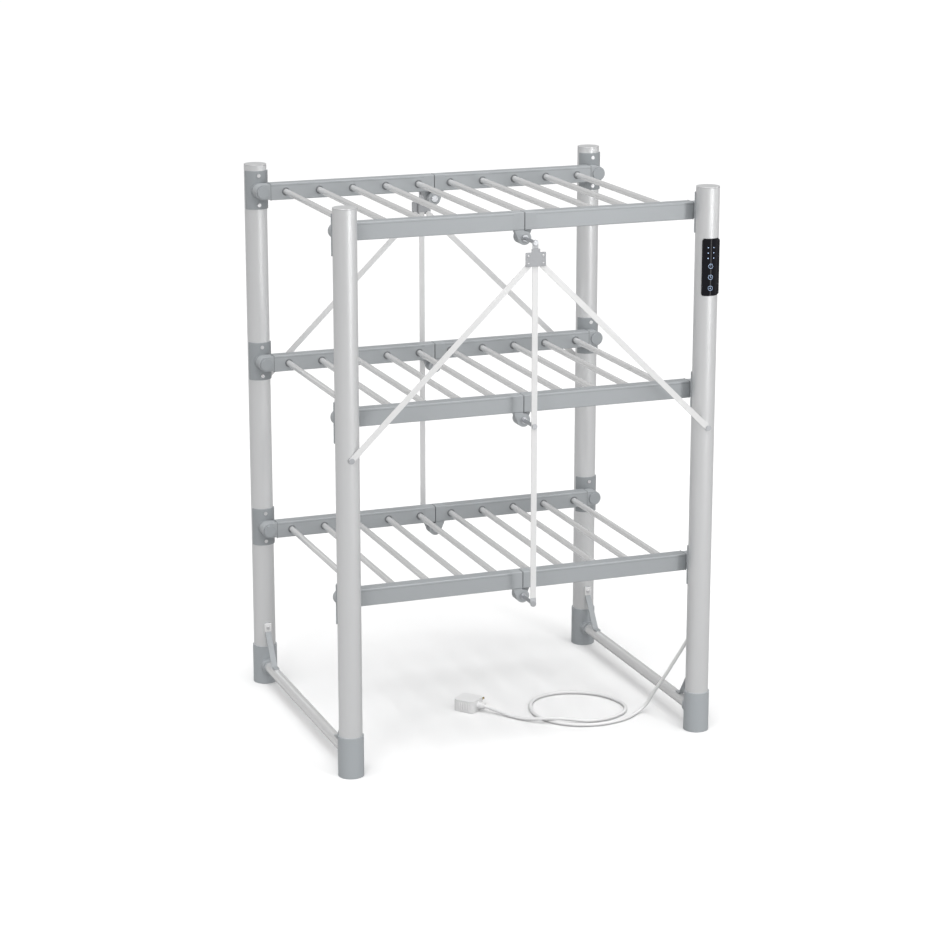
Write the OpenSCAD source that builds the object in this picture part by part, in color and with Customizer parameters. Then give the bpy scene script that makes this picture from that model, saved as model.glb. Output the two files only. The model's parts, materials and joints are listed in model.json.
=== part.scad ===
// Folding three-tier heated clothes airer.
// +Z is up, +X runs along the width and -Y is the front. The origin is on the floor under its middle.

/* [Overall] */
// Height of the legs over their caps
height = 920; // [900:5:960]
// Distance from the middle to a leg's axis, along the width
leg_x = 305; // [305:1:320]
// Distance from the middle to a leg's axis, along the depth
leg_y = 245; // [240:1:260]
// Outside diameter of a leg
leg_d = 38; // [36:1:40]
// Height of the lowest shelf's rails above the floor
first_tier = 287; // [280:1:292]
// Height from one shelf to the next
tier_pitch = 295; // [295:1:300]

/* [Shelves] */
// Height of a shelf rail
rail_h = 28; // [26:1:30]
// Depth of a shelf rail
rail_d = 22; // [20:1:22]
// Diameter of a heated tube
tube_d = 10; // [8:0.5:11]
// Distance from the middle to the first heated tube
tube_first = 29; // [29:1:30]
// Spacing of the heated tubes
tube_pitch = 59; // [56:1:59]
// Drop from a rail's middle to the centre hinge
knuckle_drop = 27; // [27:1:28]

/* [Stays] */
// Height of the stays' pivots on the legs
stay_z = 526; // [520:1:530]
// Height of the runner's middle on the strap
runner_z = 824; // [820:1:826]
// Width of a strap and of a stay
bar_w = 9.5; // [8:0.5:10]

/* [Base] */
// Height of a foot
foot_h = 68; // [64:1:72]
// Outside diameter of a foot
foot_d = 42; // [42:1:44]
// Diameter of the cross tube between two feet
cross_d = 18.5; // [16:0.5:19]
// Height of the cross tube's middle
cross_z = 33; // [32:1:34]

/* [Power] */
// Width of the control panel round its leg, in degrees
panel_arc = 90; // [80:1:96]
// Height of the control panel
panel_h = 93; // [90:1:96]
// Diameter of the mains lead
lead_d = 6; // [5.5:0.1:6.5]

/* [Hidden] */
$fn = 48;

LEFT = -1;
RIGHT = 1;
BOTTOM = first_tier;
MIDDLE = first_tier + tier_pitch;
TOP = first_tier + 2 * tier_pitch;

leg_r = leg_d / 2;
leg_wall = 1.5;
leg_bore = leg_r - leg_wall;
cap_t = 2;
cap_depth = 10;
foot_floor = 4;

// A rail lies just inside its legs; y_in and y_out are its two faces.
rail_gap = 5;
y_out = leg_y - leg_r - rail_gap;
y_in = y_out - rail_d;
rail_wall = 1.5;
rail_corner = 1.5;
knuckle_face = 0.8;
knuckle_end = 19;
eye_end = 14;
rail_x0 = knuckle_end;
rail_x1 = leg_x - eye_end;
knuckle_spigot = 4;
eye_spigot = 10;
tubes = 5;
tube_wall = 0.8;
tube_in = 5;

// Pins and their bores
pin_r = 4;
running = 0.08;
open_gap = 0.4;
eye_r = 12.5;
head_r = 10.3;
head_t = 3.4;
lug_r = 11;
lug_gap = 0.3;
rod_r = 3;
rod_head_r = 4.6;

// Leg brackets
sleeve_t = 2;
sleeve_h = 65;
sleeve_half = 72;
boss_r = 13;
face_gap = 0.4;
screw_r = 3.2;
screw_z = 25;

// The straps, stays and runners lie in layers outside the legs.
bar_t = 1.6;
bar_y = leg_y + leg_r + 0.8;
plate_y = bar_y + bar_t + face_gap;
plate_w = 34;
plate_h = 22.5;
plate_t = 2;
tab_w = 14;
tab_h = 5.5;
guide_gap = 0.4;
guide_t = 1.75;
rivet_x = 12.5;
rivet_drop = 11;
stay_dx = leg_x - rivet_x;
stay_dz = runner_z - rivet_drop - stay_z;
stay_len = norm([stay_dx, stay_dz]);
stay_angle = atan2(stay_dz, stay_dx);

// Base
socket_r = 13;
socket_y = leg_y - 30;
cross_y = leg_y - 20;
brace_w = 10;
brace_t = 1.8;
brace_top = 112;
brace_y = leg_y - 60;

// Power
panel_z = 791;
panel_t = 0.8;
window_h = 80;
board = [18, 1.6, 70];
board_y = leg_y + 10;
gland_z = 168;
gland_tilt = 140;
gland_len = 24;
plug_at = [0, -47, 10.5];
plug_turn = 130;
plug_size = [40, 38, 21];
plug_boot = 12;
prong_r = 2;
prong_pitch = 9.5;
prong_len = 18;

// The mains lead's route, from the gland down to the floor, round one loop and into the plug.
lead_route = [[305, -213, 152], [301, -205, 138], [297, -196, 122], [291, -186, 103],
    [284, -176, 82], [276, -165, 60], [268, -154, 39], [260, -146, 18], [250, -144, 7],
    [238, -149, 3.3], [224, -160, 3.2], [208, -169, 3.2], [189, -175, 3.2], [166, -178, 3.2],
    [144, -176, 3.2], [123, -169, 3.2], [105, -158, 3.2], [89, -141, 3.2], [78, -119, 3.2],
    [73, -92, 3.2], [79, -60, 3.2], [93, -33, 3.2], [114, -16, 3.2], [139, -9, 3.2],
    [166, -11, 3.2], [193, -23, 3.2], [215, -42, 3.2], [230, -71, 3.2], [235, -104, 3.2],
    [223, -134, 3.2], [198, -152, 3.2], [170, -159, 3.2], [142, -158, 4.2], [117, -151, 7.5],
    [92, -142, 9.7], [68, -130, 7.5], [48, -112, 4.2], [32, -90, 3.5], [15, -65, 7],
    [0, -47, 10.5]];

// ---- Outlines and helpers ----

// A rectangle with round corners, about its middle
module round_rect(w, h, r) {
    square([w - 2 * r, h], center = true);
    square([w, h - 2 * r], center = true);
    for (x = [-1, 1], y = [-1, 1])
        translate([x * (w / 2 - r), y * (h / 2 - r)])
            circle(r);
}

// Children drawn for the front, repeated for the back
module front_and_back() {
    children();
    mirror([0, 1, 0]) children();
}

// Children drawn for the right, moved to the chosen side
module on_side(side) {
    if (side == RIGHT)
        children();
    else
        mirror([1, 0, 0]) children();
}

// An outline in X and Z, standing t deep from y towards the front
module slab(y, t) {
    translate([0, y, 0])
        rotate([90, 0, 0])
            linear_extrude(t) children();
}

// A cylinder along Y, from y0 to y1
module rod(r, y0, y1) {
    translate([0, max(y0, y1), 0])
        rotate([90, 0, 0])
            cylinder(h = abs(y1 - y0), r = r);
}

// The solid outline of a leg, used to seat what touches it
module leg_space() {
    translate([leg_x, -leg_y, 0])
        cylinder(h = height, r = leg_r);
}

// ---- Legs and feet ----

module leg_tube() {
    difference() {
        translate([0, 0, foot_floor])
            cylinder(h = height - cap_t - foot_floor, r = leg_r);
        cylinder(h = height, r = leg_bore);
    }
}

module leg_cap() {
    translate([0, 0, height - cap_t])
        cylinder(h = cap_t, r = leg_r);
    translate([0, 0, height - cap_t - cap_depth])
        cylinder(h = cap_depth, r = leg_bore);
}

module foot() {
    difference() {
        union() {
            cylinder(h = foot_h, r = foot_d / 2);
            translate([0, 0, cross_z])
                rod(socket_r, 0, leg_y - socket_y);
        }
        translate([0, 0, foot_floor])
            cylinder(h = height, r = leg_r);
        translate([0, 0, cross_z])
            rod(cross_d / 2, leg_y - cross_y, leg_y);
    }
    // The socket's floor behind the tube's end
    translate([0, 0, cross_z])
        intersection() {
            rod(cross_d / 2, leg_r - 2, leg_y - cross_y);
            translate([0, 0, -cross_z])
                difference() {
                    cylinder(h = foot_h, r = foot_d / 2);
                    cylinder(h = foot_h, r = leg_r);
                }
        }
}

module feet(side) {
    color("#a9adb1")
        on_side(side)
            front_and_back()
                translate([leg_x, -leg_y, 0])
                    foot();
}

module cross_tube(side) {
    color("#d5d6d7")
        difference() {
            translate([side * leg_x, 0, cross_z])
                rod(cross_d / 2, -cross_y, cross_y);
            translate([side * leg_x, 0, cross_z])
                rod(cross_d / 2 - 1.2, -height, height);
        }
}

// A flat strip from a leg, over its foot and down to the top of the cross tube
module corner_braces(side) {
    top_y = leg_y - leg_r;
    low_z = cross_z + cross_d / 2;
    bend_z = foot_h + 30;
    toe = 12;
    bite = 0.4;
    color("#c9cbcc")
        on_side(side)
            front_and_back()
                difference() {
                    translate([leg_x + brace_w / 2, 0, 0])
                        rotate([0, -90, 0])
                            linear_extrude(brace_w)
                                polygon([[brace_top, -top_y - bite], [bend_z, -top_y - bite],
                                    [low_z - bite, -brace_y - 1], [low_z - bite, -brace_y + toe],
                                    [low_z + brace_t, -brace_y + toe],
                                    [low_z + brace_t, -brace_y],
                                    [bend_z + 1, -top_y + brace_t],
                                    [brace_top, -top_y + brace_t]]);
                    leg_space();
                    translate([leg_x, 0, cross_z]) rod(cross_d / 2, -leg_y, 0);
                }
}

// ---- Leg brackets ----

// A ring's sector, round the inward side of a leg
module sleeve() {
    far = 3 * leg_r;
    linear_extrude(sleeve_h, center = true)
        difference() {
            intersection() {
                circle(leg_r + sleeve_t);
                polygon(concat([[0, 0]],
                    [for (a = [-1:0.5:1]) far * [sin(a * sleeve_half), cos(a * sleeve_half)]]));
            }
            circle(leg_r);
        }
}

module pivot_bracket() {
    difference() {
        union() {
            sleeve();
            difference() {
                rod(boss_r, 0, leg_y - y_out - face_gap);
                cylinder(h = sleeve_h, r = leg_r, center = true);
            }
        }
        rod(pin_r, 0, leg_y);
        for (z = [-screw_z, screw_z])
            translate([0, 0, z])
                rod(screw_r / 2, 0, leg_y);
    }
}

module bracket_screw() {
    difference() {
        union() {
            rod(screw_r, leg_r, leg_r + sleeve_t + 1.4);
            rod(screw_r / 2, leg_r - 1, leg_r + sleeve_t);
        }
        cylinder(h = 4 * screw_r, r = leg_r, center = true);
        difference() {
            cylinder(h = 4 * screw_r, r = leg_r + sleeve_t, center = true);
            rod(screw_r / 2, 0, leg_y);
        }
    }
}

module pivot_pin() {
    difference() {
        rod(pin_r, leg_r - 3, leg_y - y_in + face_gap);
        cylinder(h = 4 * pin_r, r = leg_r, center = true);
    }
    rod(head_r, leg_y - y_in + face_gap, leg_y - y_in + face_gap + head_t);
}

// Children placed at the side's two legs, at each shelf
module at_pivots(side) {
    for (z = [BOTTOM, MIDDLE, TOP])
        front_and_back()
            translate([side * leg_x, -leg_y, z])
                children();
}

module pivot_brackets(side) {
    color("#a9adb1") at_pivots(side) pivot_bracket();
}

module bracket_screws(side) {
    color("#e3e4e6")
        at_pivots(side)
            for (z = [-screw_z, screw_z])
                translate([0, 0, z])
                    bracket_screw();
}

module pivot_pins(side) {
    color("#b4b7ba") at_pivots(side) pivot_pin();
}

module stay_rivets(side) {
    color("#b4b7ba")
        on_side(side)
            front_and_back()
                difference() {
                    translate([leg_x, 0, stay_z]) {
                        rod(5.5, -leg_y, -bar_y + face_gap);
                        rod(2.5, -leg_y, -plate_y);
                        rod(rod_head_r, -plate_y, -plate_y - 1.4);
                    }
                    leg_space();
                }
}

// ---- Shelves ----

// Where the side's heated tubes cross a rail
module at_tubes() {
    for (n = [0:tubes - 1])
        translate([tube_first + n * tube_pitch, 0, 0])
            children();
}

module shelf_rails(z, side) {
    length = rail_x1 - rail_x0;
    color("#b3b7ba")
        translate([0, 0, z])
            on_side(side)
                front_and_back()
                    difference() {
                        translate([rail_x0, -(y_in + y_out) / 2, 0])
                            rotate([90, 0, 90])
                                linear_extrude(length)
                                    difference() {
                                        round_rect(rail_d, rail_h, rail_corner);
                                        square([rail_d - 2 * rail_wall, rail_h - 2 * rail_wall],
                                            center = true);
                                    }
                        at_tubes() rod(tube_d / 2, -y_in - tube_in, 0);
                    }
}

module shelf_tubes(z, side) {
    reach = y_in + tube_in;
    color("#e8e9ea")
        translate([0, 0, z])
            on_side(side)
                at_tubes()
                    difference() {
                        rod(tube_d / 2, -reach, reach);
                        rod(tube_d / 2 - tube_wall, -height, height);
                    }
}

module shelf_heaters(z, side) {
    reach = y_in + tube_in;
    color("#c8574a")
        translate([0, 0, z])
            on_side(side)
                at_tubes()
                    rod(tube_d / 2 - tube_wall, -reach, reach);
}

// The moulding at a rail's outer end, with the eye for the leg's pivot pin
module rail_eye(bore) {
    spigot_w = rail_d - 2 * rail_wall;
    spigot_h = rail_h - 2 * rail_wall;
    difference() {
        union() {
            translate([leg_x, 0, 0]) rod(eye_r, -y_out, -y_in);
            translate([rail_x1, -y_out, -eye_r])
                cube([eye_end, rail_d, 2 * eye_r]);
            translate([rail_x1, -y_out, -rail_h / 2])
                cube([1.2, rail_d, rail_h]);
            translate([rail_x1 - eye_spigot, -y_out + rail_wall, -spigot_h / 2])
                cube([eye_spigot, spigot_w, spigot_h]);
        }
        translate([leg_x, 0, 0]) rod(bore, -leg_y, 0);
    }
}

// The moulding at a rail's inner end, with a lug that hangs to the centre hinge
module rail_knuckle(lug_y0, lug_y1, bore) {
    spigot_w = rail_d - 2 * rail_wall;
    spigot_h = rail_h - 2 * rail_wall;
    neck_angle = 40;
    difference() {
        union() {
            translate([knuckle_face, -(y_in + y_out) / 2, 0])
                rotate([90, 0, 90])
                    linear_extrude(knuckle_end - knuckle_face)
                        round_rect(rail_d, rail_h, rail_corner);
            translate([knuckle_end, -y_out + rail_wall, -spigot_h / 2])
                cube([knuckle_spigot, spigot_w, spigot_h]);
            slab(lug_y1, lug_y1 - lug_y0) {
                translate([0, -knuckle_drop])
                    circle(lug_r);
                polygon([[17, -rail_h / 2], [knuckle_face, -rail_h / 2],
                    [knuckle_face, -knuckle_drop + lug_r - 1], [0, -knuckle_drop],
                    [lug_r * cos(neck_angle), -knuckle_drop - lug_r * sin(neck_angle)]]);
            }
        }
        translate([0, 0, -knuckle_drop]) rod(bore, -leg_y, 0);
    }
}

// The left half's lugs lie outermost and turn on the pins that the right half holds.
module hinge_ends(z, side, eye_bore) {
    y_mid = (y_in + y_out) / 2;
    color("#a4a8ac")
        translate([0, 0, z])
            on_side(side)
                front_and_back() {
                    rail_eye(eye_bore);
                    if (side == LEFT)
                        rail_knuckle(-y_out, -y_mid - lug_gap, pin_r + running);
                    else
                        rail_knuckle(-y_mid + lug_gap, -y_in, pin_r);
                }
}

// A pin through a centre hinge, with the rod that reaches forward to the strap
module centre_pins(z) {
    color("#8f9397")
        translate([0, 0, z - knuckle_drop])
            front_and_back() {
                rod(6, -y_in + face_gap, -y_in + face_gap + 1.6);
                rod(pin_r, -y_in + face_gap, -y_out - face_gap);
                rod(5.5, -y_out - face_gap, -y_out - 2.5);
                rod(rod_r, -y_out - 2.5, -plate_y);
                rod(rod_head_r, -plate_y, -plate_y - 1.4);
            }
}

// ---- Straps, runners and stays ----

// A flat bar along X from the origin, with round ends
module bar(length) {
    translate([0, -bar_w / 2])
        square([length, bar_w]);
    circle(bar_w / 2);
    translate([length, 0])
        circle(bar_w / 2);
}

module strap() {
    color("#eceded")
        difference() {
            translate([0, 0, BOTTOM - knuckle_drop])
                slab(-bar_y, bar_t)
                    rotate(90) bar(TOP - BOTTOM);
            translate([0, 0, TOP - knuckle_drop])
                rod(rod_r + running, -height, 0);
            for (z = [BOTTOM, MIDDLE])
                translate([0, 0, z - knuckle_drop])
                    rod(rod_r + open_gap, -height, 0);
        }
}

// The runner slides on the strap: a plate in front, two guides and a bar behind
module runner() {
    inner = bar_w / 2 + guide_gap;
    behind = bar_y - face_gap;
    color("#b4b7ba")
        translate([0, 0, runner_z]) {
            slab(-plate_y, plate_t) {
                round_rect(plate_w, plate_h, 1.5);
                translate([0, plate_h / 2])
                    square([tab_w, 2 * tab_h], center = true);
            }
            for (x = [-1, 1])
                translate([x * (inner + guide_t / 2), 0])
                    slab(-behind, plate_y - behind)
                        square([guide_t, plate_h - 8], center = true);
            slab(-behind + plate_t, plate_t)
                square([2 * (inner + guide_t), plate_h - 8], center = true);
            for (x = [-1, 1], z = [-3, -rivet_drop + 3])
                translate([x * rivet_x, 0, z])
                    rod(1.7, -plate_y - plate_t, -plate_y - plate_t - 0.6);
        }
}

module stay() {
    color("#eceded")
        translate([leg_x, 0, stay_z])
            difference() {
                slab(-bar_y, bar_t)
                    rotate(180 - stay_angle) bar(stay_len);
                rod(2.5 + running, -height, 0);
            }
}

// ---- Control panel, lead and plug ----

// A ring's sector on the front of a leg, about its middle height
module front_sector(r0, r1, half, h) {
    far = 3 * r1;
    linear_extrude(h, center = true)
        difference() {
            intersection() {
                circle(r1);
                polygon(concat([[0, 0]],
                    [for (a = [-1:0.5:1]) far * [sin(a * half), -cos(a * half)]]));
            }
            circle(r0);
        }
}

// Points along the lead: each stretch of the route is halved on a smooth curve
function spline(p, i, t) =
    let (a = p[max(i - 1, 0)], b = p[i], c = p[i + 1], d = p[min(i + 2, len(p) - 1)])
    0.5 * (2 * b + (c - a) * t + (2 * a - 5 * b + 4 * c - d) * t * t
        + (3 * b - a - 3 * c + d) * t * t * t);
function smooth_route(p) =
    concat([for (i = [0:len(p) - 2], t = [0, 0.5]) spline(p, i, t)], [p[len(p) - 1]]);
function unit(v) = v / norm(v);
function heading(p, i) = unit(p[min(i + 1, len(p) - 1)] - p[max(i - 1, 0)]);
function ring_points(p, i, r, n) =
    let (t = heading(p, i), u = unit(cross(t, [0, 0, 1])), v = cross(u, t))
    [for (k = [0:n - 1]) p[i] + r * (cos(360 * k / n) * u + sin(360 * k / n) * v)];

module swept_tube(route, r, n) {
    p = smooth_route(route);
    rings = len(p);
    sides = [for (i = [0:rings - 2], k = [0:n - 1])
        [i * n + k, i * n + (k + 1) % n, (i + 1) * n + (k + 1) % n, (i + 1) * n + k]];
    first = [for (k = [0:n - 1]) n - 1 - k];
    last = [for (k = [0:n - 1]) (rings - 1) * n + k];
    polyhedron([for (i = [0:rings - 1]) each ring_points(p, i, r, n)],
        concat(sides, [first], [last]));
}

// Children drawn with the lead's entry at the origin and the plug along +X
module at_plug() {
    translate(plug_at) rotate([0, 0, plug_turn]) children();
}

// ---- Sub-parts ----

module left_legs() {
    color("#d9dadb")
        for (y = [-leg_y, leg_y])
            translate([-leg_x, y, 0]) leg_tube();
}

module right_front_leg() {
    color("#d9dadb")
        translate([leg_x, -leg_y, 0])
            difference() {
                leg_tube();
                translate([0, 0, panel_z])
                    front_sector(leg_bore - 2, leg_r + 2, 30, window_h);
                translate([0, 0, gland_z]) rod(5, 0, leg_y);
            }
}

module right_back_leg() {
    color("#d9dadb") translate([leg_x, leg_y, 0]) leg_tube();
}

module left_leg_caps() {
    color("#b9bcc0") for (y = [-leg_y, leg_y]) translate([-leg_x, y, 0]) leg_cap();
}

module right_leg_caps() {
    color("#b9bcc0") for (y = [-leg_y, leg_y]) translate([leg_x, y, 0]) leg_cap();
}

module control_panel() {
    stand = leg_y - leg_bore + 4;
    color("#15161a")
        translate([leg_x, -leg_y, panel_z]) {
            front_sector(leg_r, leg_r + panel_t, panel_arc / 2, panel_h);
            // Posts that hold the circuit board inside the leg
            for (z = [-28, 28])
                translate([0, 0, z])
                    rod(3, -leg_r - panel_t / 2, -(board_y - leg_y) - board[1]);
        }
}

module control_board() {
    color("#2f6b3d")
        translate([leg_x - board[0] / 2, -board_y - board[1], panel_z - board[2] / 2])
            cube(board);
}

module lead_gland() {
    color("#e6e7e8") {
        translate([leg_x, -leg_y, gland_z]) {
            difference() {
                translate([0, leg_r, 0])
                    rotate([-gland_tilt, 0, 0])
                        cylinder(h = gland_len, r1 = 6.5, r2 = 4.2);
                cylinder(h = 60, r = leg_r, center = true);
            }
            intersection() {
                rod(5, leg_bore - 2, leg_r + 2);
                cylinder(h = 60, r = leg_r, center = true);
            }
        }
    }
}

module power_lead() {
    color("#f2f2f2") swept_tube(lead_route, lead_d / 2, 8);
}

module plug_body() {
    end_r = 4.5;
    color("#f4f4f4")
        at_plug() {
            rotate([0, 90, 0])
                cylinder(h = plug_boot, r1 = end_r, r2 = 6.5);
            translate([plug_boot, 0, -plug_at[2]])
                linear_extrude(plug_size[2])
                    translate([plug_size[0] / 2, 0])
                        round_rect(plug_size[0], plug_size[1], 8);
        }
}

module plug_pins() {
    color("#d8cfa8")
        at_plug()
            translate([plug_boot + plug_size[0] / 2, 0, 0])
                for (n = [-1:1])
                    translate([n * prong_pitch, 0, 0])
                        rod(prong_r, -plug_size[1] / 2, -plug_size[1] / 2 - prong_len);
}

module left_feet() feet(LEFT);
module right_feet() feet(RIGHT);
module left_cross_tube() cross_tube(LEFT);
module right_cross_tube() cross_tube(RIGHT);
module left_corner_braces() corner_braces(LEFT);
module right_corner_braces() corner_braces(RIGHT);
module left_pivot_brackets() pivot_brackets(LEFT);
module right_pivot_brackets() pivot_brackets(RIGHT);
module left_bracket_screws() bracket_screws(LEFT);
module right_bracket_screws() bracket_screws(RIGHT);
module left_pivot_pins() pivot_pins(LEFT);
module right_pivot_pins() pivot_pins(RIGHT);
module left_stay_rivets() stay_rivets(LEFT);
module right_stay_rivets() stay_rivets(RIGHT);

module top_left_rails() shelf_rails(TOP, LEFT);
module top_right_rails() shelf_rails(TOP, RIGHT);
module middle_left_rails() shelf_rails(MIDDLE, LEFT);
module middle_right_rails() shelf_rails(MIDDLE, RIGHT);
module bottom_left_rails() shelf_rails(BOTTOM, LEFT);
module bottom_right_rails() shelf_rails(BOTTOM, RIGHT);
module top_left_tubes() shelf_tubes(TOP, LEFT);
module top_right_tubes() shelf_tubes(TOP, RIGHT);
module middle_left_tubes() shelf_tubes(MIDDLE, LEFT);
module middle_right_tubes() shelf_tubes(MIDDLE, RIGHT);
module bottom_left_tubes() shelf_tubes(BOTTOM, LEFT);
module bottom_right_tubes() shelf_tubes(BOTTOM, RIGHT);
module top_left_heaters() shelf_heaters(TOP, LEFT);
module top_right_heaters() shelf_heaters(TOP, RIGHT);
module middle_left_heaters() shelf_heaters(MIDDLE, LEFT);
module middle_right_heaters() shelf_heaters(MIDDLE, RIGHT);
module bottom_left_heaters() shelf_heaters(BOTTOM, LEFT);
module bottom_right_heaters() shelf_heaters(BOTTOM, RIGHT);

// The linkage is opened at the left ends of the middle and bottom shelves, whose eyes are wider.
module top_left_hinge_ends() hinge_ends(TOP, LEFT, pin_r + running);
module top_right_hinge_ends() hinge_ends(TOP, RIGHT, pin_r + running);
module middle_left_hinge_ends() hinge_ends(MIDDLE, LEFT, pin_r + open_gap);
module middle_right_hinge_ends() hinge_ends(MIDDLE, RIGHT, pin_r + running);
module bottom_left_hinge_ends() hinge_ends(BOTTOM, LEFT, pin_r + open_gap);
module bottom_right_hinge_ends() hinge_ends(BOTTOM, RIGHT, pin_r + running);
module top_centre_pins() centre_pins(TOP);
module middle_centre_pins() centre_pins(MIDDLE);
module bottom_centre_pins() centre_pins(BOTTOM);

module front_strap() strap();
module back_strap() mirror([0, 1, 0]) strap();
module front_runner() runner();
module back_runner() mirror([0, 1, 0]) runner();
module front_right_stay() stay();
module front_left_stay() mirror([1, 0, 0]) stay();
module back_right_stay() mirror([0, 1, 0]) stay();
module back_left_stay() mirror([0, 1, 0]) mirror([1, 0, 0]) stay();

left_legs();
right_front_leg();
right_back_leg();
left_leg_caps();
right_leg_caps();
left_feet();
right_feet();
left_cross_tube();
right_cross_tube();
left_corner_braces();
right_corner_braces();
left_pivot_brackets();
right_pivot_brackets();
left_bracket_screws();
right_bracket_screws();
left_pivot_pins();
right_pivot_pins();
left_stay_rivets();
right_stay_rivets();
control_panel();
control_board();
lead_gland();
power_lead();
plug_body();
plug_pins();
top_left_rails();
top_right_rails();
middle_left_rails();
middle_right_rails();
bottom_left_rails();
bottom_right_rails();
top_left_tubes();
top_right_tubes();
middle_left_tubes();
middle_right_tubes();
bottom_left_tubes();
bottom_right_tubes();
top_left_heaters();
top_right_heaters();
middle_left_heaters();
middle_right_heaters();
bottom_left_heaters();
bottom_right_heaters();
top_left_hinge_ends();
top_right_hinge_ends();
middle_left_hinge_ends();
middle_right_hinge_ends();
bottom_left_hinge_ends();
bottom_right_hinge_ends();
top_centre_pins();
middle_centre_pins();
bottom_centre_pins();
front_strap();
back_strap();
front_runner();
back_runner();
front_left_stay();
front_right_stay();
back_left_stay();
back_right_stay();
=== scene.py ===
"""Finishes the folding heated clothes airer: its edges, small fittings, mains lead, materials and studio."""

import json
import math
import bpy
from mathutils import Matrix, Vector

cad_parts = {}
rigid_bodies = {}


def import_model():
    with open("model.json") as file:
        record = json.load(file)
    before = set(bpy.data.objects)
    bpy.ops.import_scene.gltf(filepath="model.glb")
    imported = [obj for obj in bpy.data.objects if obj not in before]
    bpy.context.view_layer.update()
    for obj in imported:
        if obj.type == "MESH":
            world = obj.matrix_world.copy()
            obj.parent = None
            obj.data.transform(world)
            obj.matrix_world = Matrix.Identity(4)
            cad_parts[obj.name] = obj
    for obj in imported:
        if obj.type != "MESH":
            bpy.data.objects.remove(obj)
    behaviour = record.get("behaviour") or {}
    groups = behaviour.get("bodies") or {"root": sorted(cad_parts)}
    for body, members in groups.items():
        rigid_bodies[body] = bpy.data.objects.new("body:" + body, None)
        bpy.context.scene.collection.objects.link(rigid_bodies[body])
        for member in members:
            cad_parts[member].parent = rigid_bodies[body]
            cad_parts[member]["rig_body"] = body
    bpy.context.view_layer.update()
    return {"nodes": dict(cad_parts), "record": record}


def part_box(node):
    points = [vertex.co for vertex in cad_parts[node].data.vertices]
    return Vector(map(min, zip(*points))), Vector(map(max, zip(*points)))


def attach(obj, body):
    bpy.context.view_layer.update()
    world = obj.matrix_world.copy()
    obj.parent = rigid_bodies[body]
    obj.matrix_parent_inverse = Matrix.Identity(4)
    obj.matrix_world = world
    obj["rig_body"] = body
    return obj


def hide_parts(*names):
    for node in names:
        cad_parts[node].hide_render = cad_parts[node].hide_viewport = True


bl_info = {
    "name": "Heated Clothes Airer Finish",
    "version": (1, 0, 0),
    "blender": (4, 5, 0),
    "location": "View3D > Sidebar > Airer",
    "description": "Finishes the frames, shelves, stays, panel and lead of a folding heated clothes airer",
    "category": "Object",
}

import bpy
from bpy.props import FloatProperty, FloatVectorProperty, PointerProperty
from mathutils import Matrix, Vector

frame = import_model()

TIERS = ("top", "middle", "bottom")
SIDES = ("left", "right")
ENDS = ("front", "back")

# Places from the part's own design, in metres and degrees
LEG = Vector((0.305, -0.245, 0.0))
LOWEST_TIER = 0.287
TIER_PITCH = 0.295
RAIL_MIDDLE = 0.210
RAIL_INNER_FACE = 0.1987
RAIL_OUTER_END = 0.2912
# Size and places of the dark sheets that stand for the shade in the gaps at the rails' outer ends and in the
# shelf's seam: painted shade
END_GAP_SHADE_SIZE = (0.0008, 0.0225, 0.0285)
SEAM_GAP_SHADE_PLACE = 0.00047
SEAM_GAP_SHADE_SIZE = (0.0007, 0.0208, 0.0268)
FIRST_TUBE = 0.029
TUBE_PITCH = 0.059
TUBES_IN_HALF = 5
BRACE_FACE = 0.2242
CLIP_HEIGHT = 0.104
CLIP_TALLNESS = 1.2
CLIP_SCREW_PROUD = 0.0006
RIVET_ACROSS = 0.0125
RIVET_HEIGHTS = (0.830, 0.8185)
RIVET_SUNK = 0.00055
RIVET_FLATNESS = 0.32
STRAP_RING_TOP = 0.2704
STRAP_LINK_BOTTOM = 0.8342
PANEL_RADIUS = 0.0198
PANEL_HALF_TURN = 45
MARKS_TURN = -4
LAMP_ACROSS = 0.0048
LAMP_BELOW_TOP = 0.0145
LAMP_PITCH = 0.0085
KEY_BELOW_TOP = 0.0445
KEY_PITCH = 0.0180

# Turn, length and shift of the bars inside each touch key
KEY_BARS = (
    ((0, 0.0030, 0.0015),),
    ((0, 0.0024, 0.0012), (125, 0.0018, 0.0009)),
    ((45, 0.0022, 0.0), (-45, 0.0022, 0.0)),
)

GLAND_START = Vector((0.305, -0.226, 0.168))
GLAND_TILT = 140
GLAND_LENGTH = 0.024
GLAND_RIBS = 6
BOOT_RIBS = 4
GRIPS_ON_SIDE = 5
GRIP_PLACE = 0.0186
PLUG_PLACE = Vector((0.0, -0.047, 0.0105))
PLUG_TURN = 130

# The camera, in metres, degrees and millimetres
CAMERA_PLACE = (-1.5335, -4.0737, 1.5723)
CAMERA_TILT = 14.857
CAMERA_TURN = 20.512
CAMERA_LENS = 102.04

# Name, place, size and power of each soft box, then name, place, strength and spread of each broad light
SOFT_BOXES = (
    ("key", (-2.4, -3.0, 2.4), (0.9, 2.4), 18),
    ("strip", (1.05, -2.6, 1.3), (0.45, 2.5), 17),
    ("side", (3.2, -1.2, 1.6), (0.5, 2.6), 10),
)
BROAD_LIGHTS = (
    ("ceiling", (-0.4, -0.5, 4.0), 2.3, 60),
    ("front", (-1.5, -4.0, 3.0), 0.45, 50),
)
LIGHTS_AIM = Vector((0, 0, 0.45))
WORLD_LIGHT = 0.36
WORLD_SEEN = 1.02
FLOOR_BOUNCE = 0.5

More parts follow.
